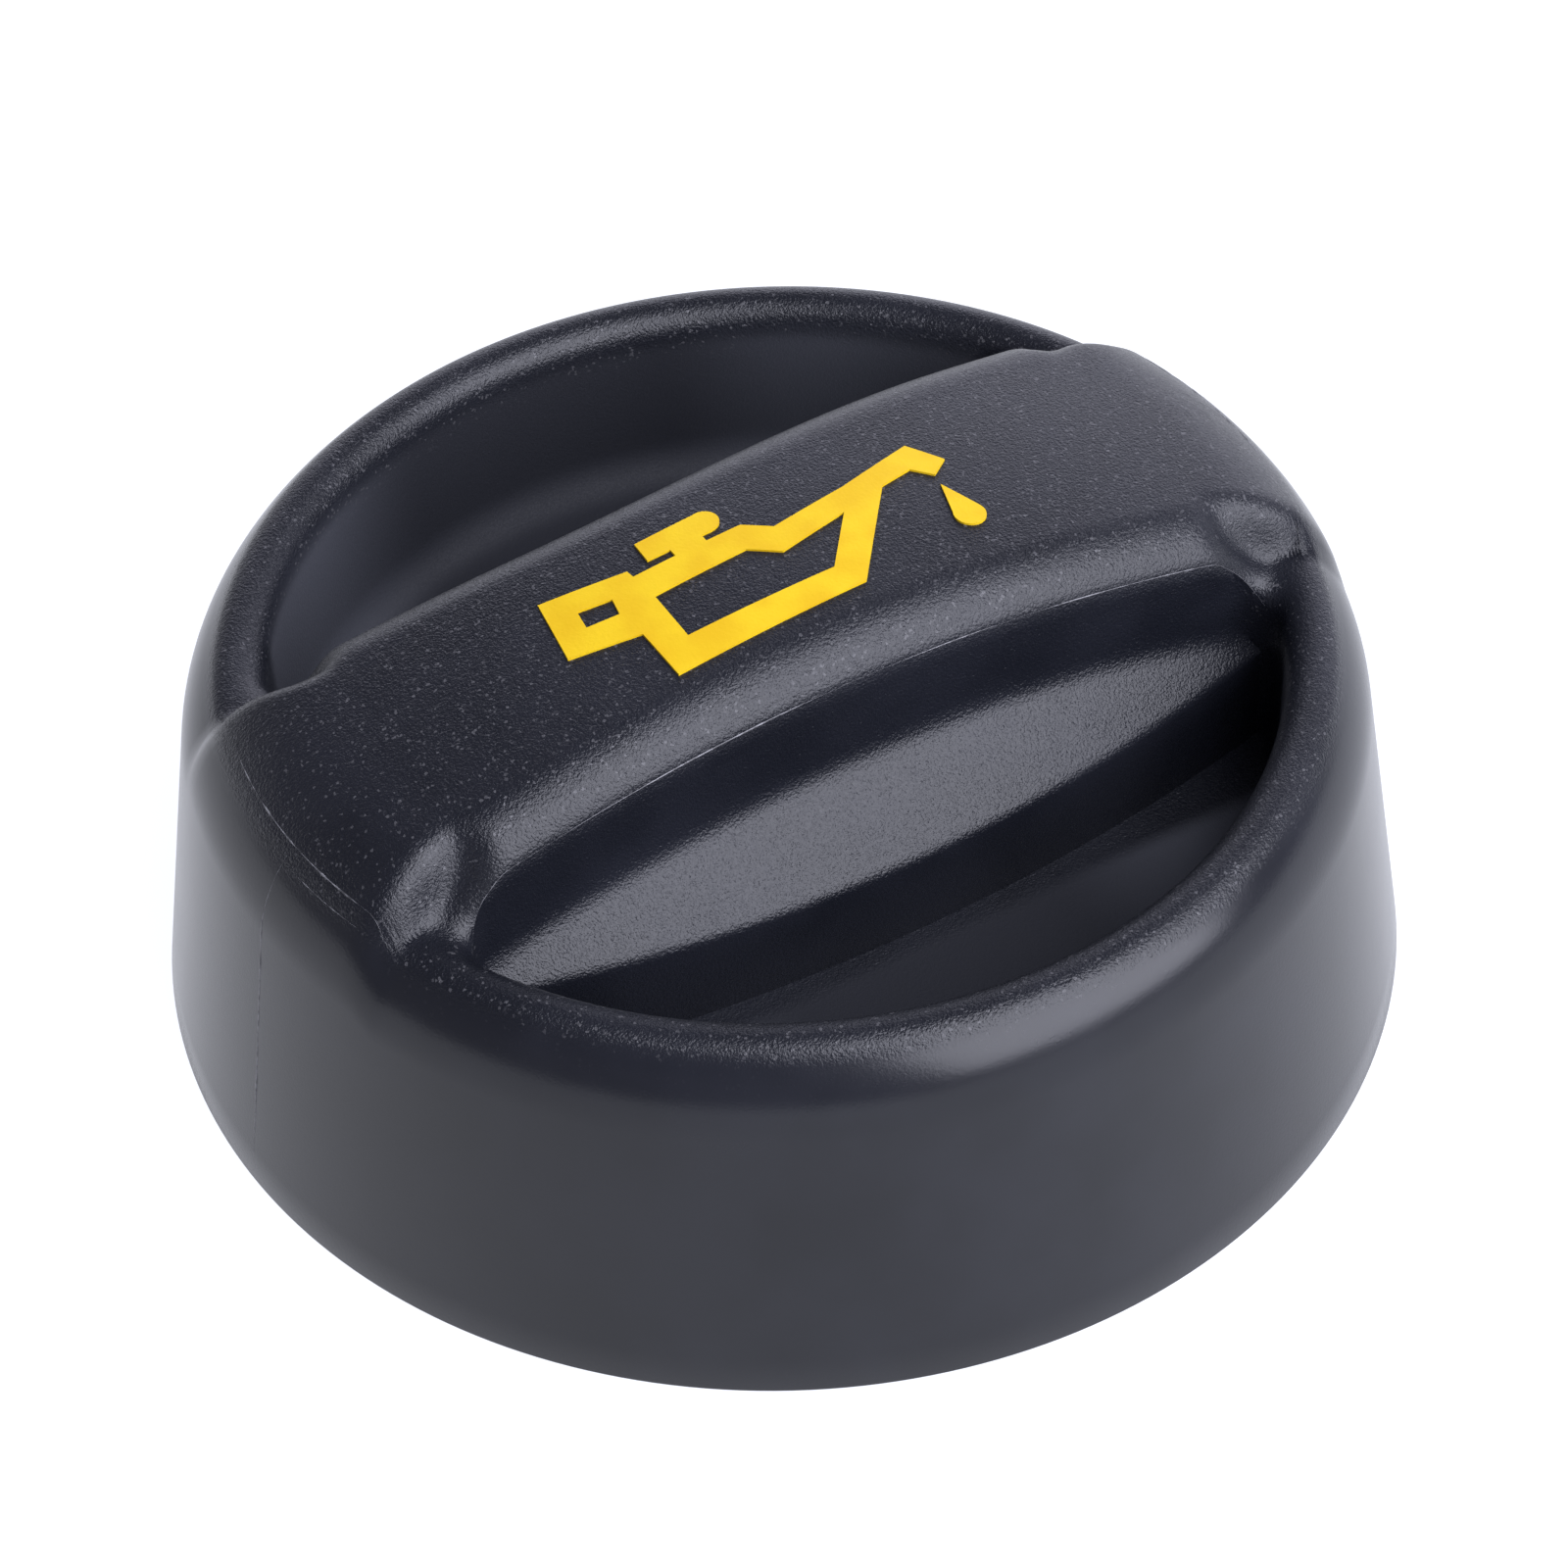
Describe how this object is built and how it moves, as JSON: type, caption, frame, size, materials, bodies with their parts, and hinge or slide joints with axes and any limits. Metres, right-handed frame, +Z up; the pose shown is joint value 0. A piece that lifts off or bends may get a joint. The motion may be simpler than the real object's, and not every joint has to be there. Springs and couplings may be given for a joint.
{
  "type": "oil filler cap",
  "caption": "Round black twist-lock oil filler cap with a raised grip bar, finger pockets on both sides, a bayonet stem and a flat rubber seal.",
  "frame": {"origin": "on the cap's axis, in the plane that the foot of the skirt stands on", "axes": "+Z up along the cap's axis, out of the engine; X along the grip bar; the printed figure is read from -Y"},
  "size_m": [0.064, 0.064, 0.0257],
  "materials": {
    "black_nylon": "moulded black glass-filled nylon with a fine blasted grain",
    "seal_rubber": "smooth black nitrile rubber",
    "yellow_ink": "printed yellow ink, satin"
  },
  "bodies": {
    "root": {"cap_body": "black_nylon", "seal_ring": "seal_rubber", "oil_can_print": "yellow_ink"}
  },
  "joints": []
}
